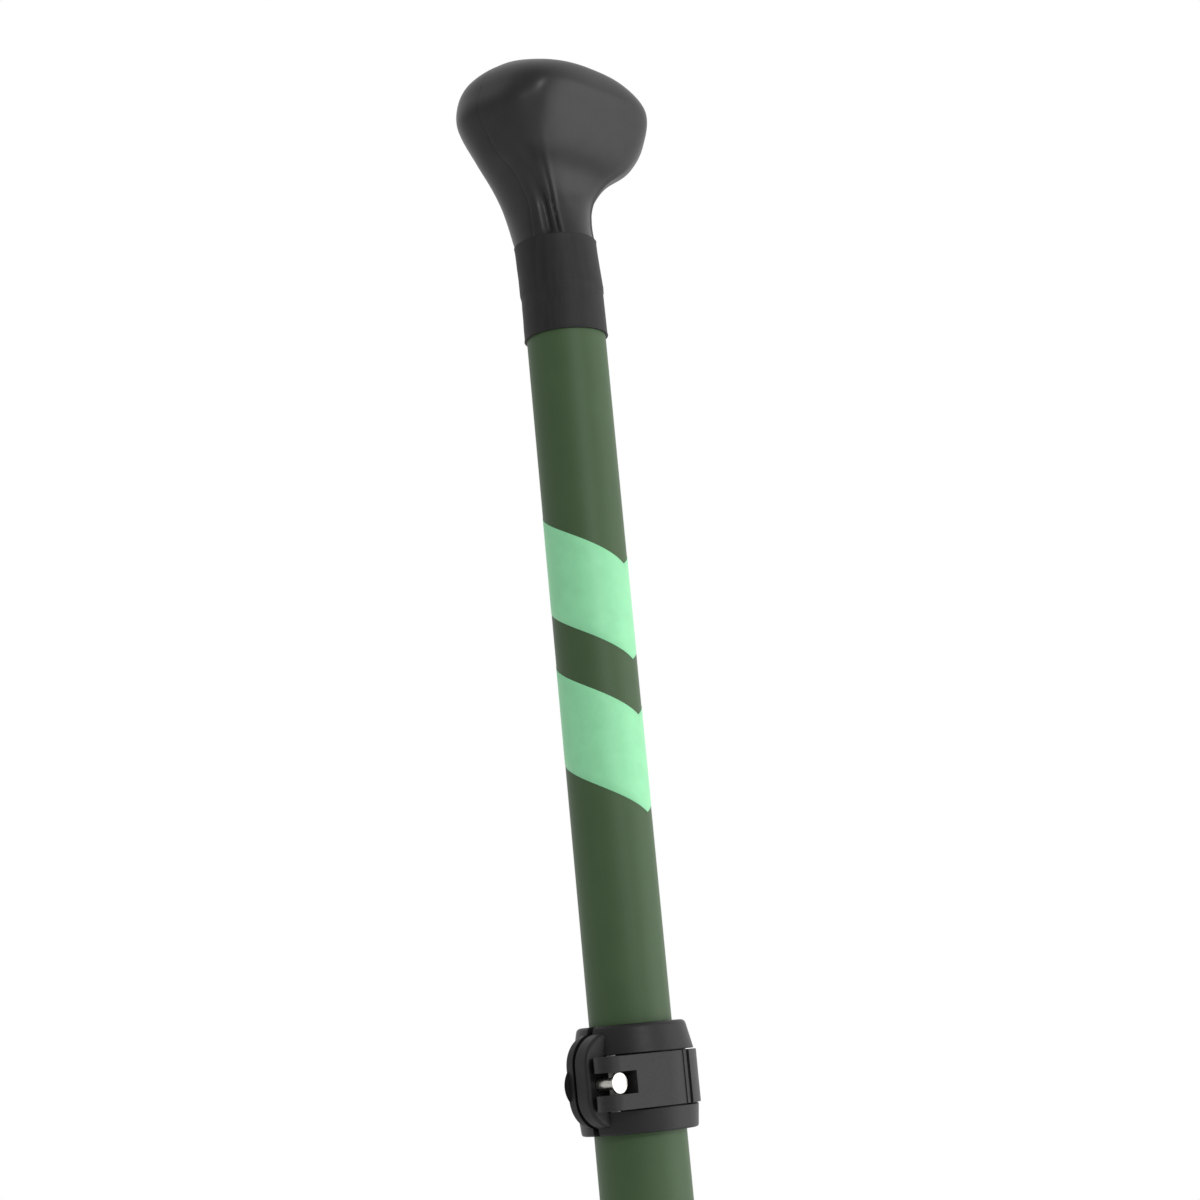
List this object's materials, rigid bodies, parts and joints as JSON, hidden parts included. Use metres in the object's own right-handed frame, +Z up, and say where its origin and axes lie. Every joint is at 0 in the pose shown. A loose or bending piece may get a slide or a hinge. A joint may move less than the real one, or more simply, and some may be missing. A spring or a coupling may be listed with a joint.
{
  "type": "adjustable stand-up paddle",
  "caption": "Length-adjustable stand-up paddle: palm grip on a striped tube that slides and turns in a lever clamp on a larger shaft with a raked blade.",
  "frame": {"origin": "on the shaft's axis where the lower hand holds, 300 mm below the clamp's foot", "axes": "+Z up along the shaft towards the palm grip, X across the palm grip and the blade, -Y the side the blade leans to"},
  "size_m": [0.2078, 0.1038, 1.8882],
  "materials": {
    "grip_black": "satin moulded",
    "sleeve_black": "matte shrink film",
    "tube_green": "matte powder coat",
    "stripe_mint": "satin film",
    "clamp_black": "satin moulded",
    "lever_black": "glass-filled, mottled",
    "bolt_steel": "turned bright",
    "bush_plastic": "plain moulded",
    "core_plastic": "plain moulded",
    "foam": "closed-cell foam",
    "blade_black": "fine grain moulded",
    "spigot_alu": "mill finish"
  },
  "bodies": {
    "shaft": {"clamp_collar": "clamp_black", "lever_pin": "bolt_steel", "draw_bolt": "bolt_steel", "tension_nut": "bolt_steel", "shaft_tube": "tube_green", "shaft_foam_plug": "foam", "joint_spigot": "spigot_alu", "lower_tube": "tube_green", "lower_foam_plug": "foam", "blade": "blade_black", "blade_rivet": "bolt_steel"},
    "bush": {"guide_bush": "bush_plastic"},
    "handle": {"grip_shell_front": "grip_black", "grip_shell_back": "grip_black", "grip_plug": "core_plastic", "grip_sleeve": "sleeve_black", "handle_tube": "tube_green", "stripe_upper": "stripe_mint", "stripe_lower": "stripe_mint", "handle_end_cap": "bush_plastic"},
    "lever": {"clamp_lever": "lever_black"},
    "button": {"snap_button": "bolt_steel", "button_spring": "bolt_steel"}
  },
  "joints": [
    {"name": "handle_slide", "type": "slide", "parent": "shaft", "child": "bush", "axis": [0, 0, 1], "range_m": [-0.215, 0.19]},
    {"name": "handle_turn", "type": "hinge", "parent": "bush", "child": "handle", "pos_m": [0, 0, 0.007], "axis": [0, 0, 1], "continuous": true},
    {"name": "lever_open", "type": "hinge", "parent": "shaft", "child": "lever", "pos_m": [-0.0216, -0.00839, 0.3156], "axis": [0, 0, -1], "range_deg": [0, 115]},
    {"name": "button_press", "type": "slide", "parent": "shaft", "child": "button", "axis": [0, 1, 0], "range_m": [0, 0.0033], "stiffness_N_per_m": 3000}
  ]
}
